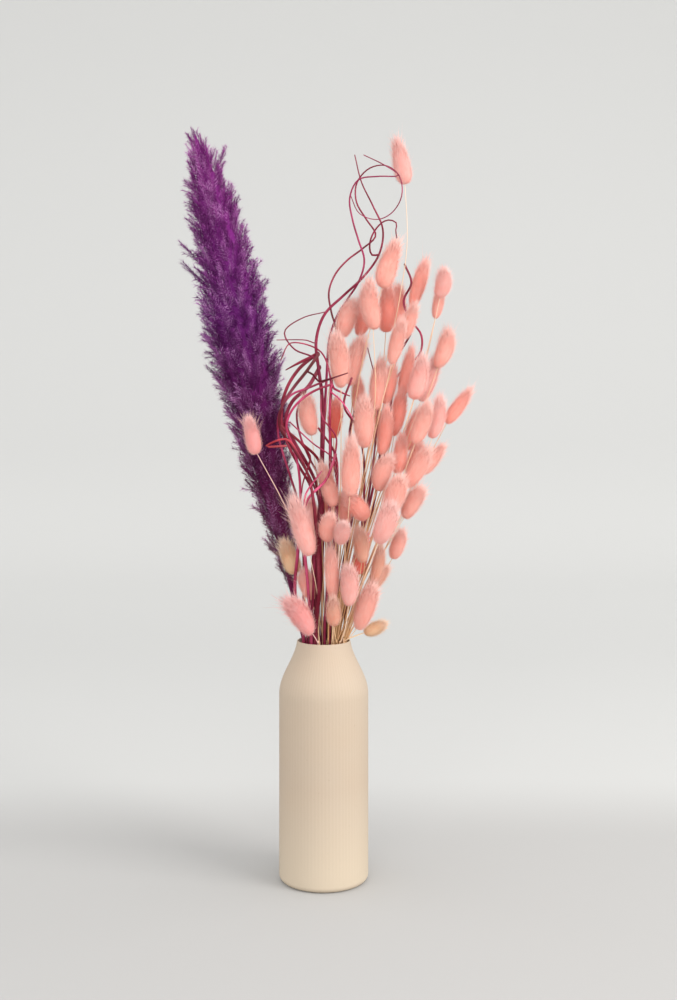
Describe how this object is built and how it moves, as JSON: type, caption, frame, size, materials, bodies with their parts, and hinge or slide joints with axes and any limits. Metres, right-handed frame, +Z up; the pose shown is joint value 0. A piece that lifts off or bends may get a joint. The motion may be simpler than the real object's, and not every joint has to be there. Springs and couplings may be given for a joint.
{
  "type": "vase of dried flowers",
  "caption": "Tall round ceramic vase with dried grasses: a feathery plume, many small fluffy egg-shaped heads on thin stems, and thin curly sticks.",
  "frame": {"origin": "middle of the vase's flat foot, on the surface that it stands on", "axes": "+Z up along the vase's axis, +Y away from the viewer of the front, +X to that viewer's right, where the fluffy heads lean; the plume leans to -X"},
  "size_m": [0.2998, 0.1117, 0.7537],
  "materials": {
    "vase_ceramic": "matte",
    "pampas_purple": "matte",
    "tail_pink": "matte",
    "tail_coral": "matte",
    "stick_pink": "matte",
    "stick_crimson": "matte"
  },
  "bodies": {
    "root": {"bunny_tails_01": "tail_pink", "bunny_tails_02": "tail_coral", "bunny_tails_03": "tail_pink", "bunny_tails_04": "tail_pink", "bunny_tails_05": "tail_pink", "bunny_tails_06": "tail_pink", "bunny_tails_07": "tail_coral", "bunny_tails_08": "tail_pink", "bunny_tails_09": "tail_coral", "bunny_tails_10": "tail_pink", "bunny_tails_11": "tail_coral", "bunny_tails_12": "tail_pink", "bunny_tails_13": "tail_pink", "bunny_tails_14": "tail_pink", "bunny_tails_15": "tail_pink", "bunny_tails_16": "tail_pink", "bunny_tails_17": "tail_pink", "bunny_tails_18": "tail_pink", "bunny_tails_19": "tail_pink", "bunny_tails_20": "tail_pink", "bunny_tails_21": "tail_coral", "bunny_tails_22": "tail_coral", "bunny_tails_23": "tail_pink", "bunny_tails_24": "tail_pink", "bunny_tails_25": "tail_coral", "bunny_tails_26": "tail_pink", "bunny_tails_27": "tail_pink", "bunny_tails_28": "tail_pink", "bunny_tails_29": "tail_pink", "bunny_tails_30": "tail_coral", "bunny_tails_31": "tail_pink", "curly_stick_crimson_fork": "stick_crimson", "curly_stick_flat_loop": "stick_pink", "curly_stick_hairpin": "stick_pink", "curly_stick_left_drop": "stick_crimson", "curly_stick_left_hook": "stick_pink", "curly_stick_left_loop": "stick_pink", "curly_stick_left_sweep": "stick_crimson", "curly_stick_pale_twig": "stick_pink", "curly_stick_pink_arch": "stick_pink", "curly_stick_pink_front": "stick_pink", "curly_stick_right": "stick_crimson", "curly_stick_right_short": "stick_crimson", "curly_stick_ring": "stick_pink", "curly_stick_ring_left": "stick_crimson", "curly_stick_short_cross": "stick_crimson", "curly_stick_small_hook": "stick_pink", "curly_stick_tall": "stick_pink", "curly_stick_thick_sweep": "stick_crimson", "curly_stick_thin_arch": "stick_pink", "curly_stick_thin_cross": "stick_crimson", "curly_stick_zigzag_high": "stick_crimson", "curly_stick_zigzag_low": "stick_crimson", "pampas_grass": "pampas_purple", "vase": "vase_ceramic"}
  },
  "joints": []
}
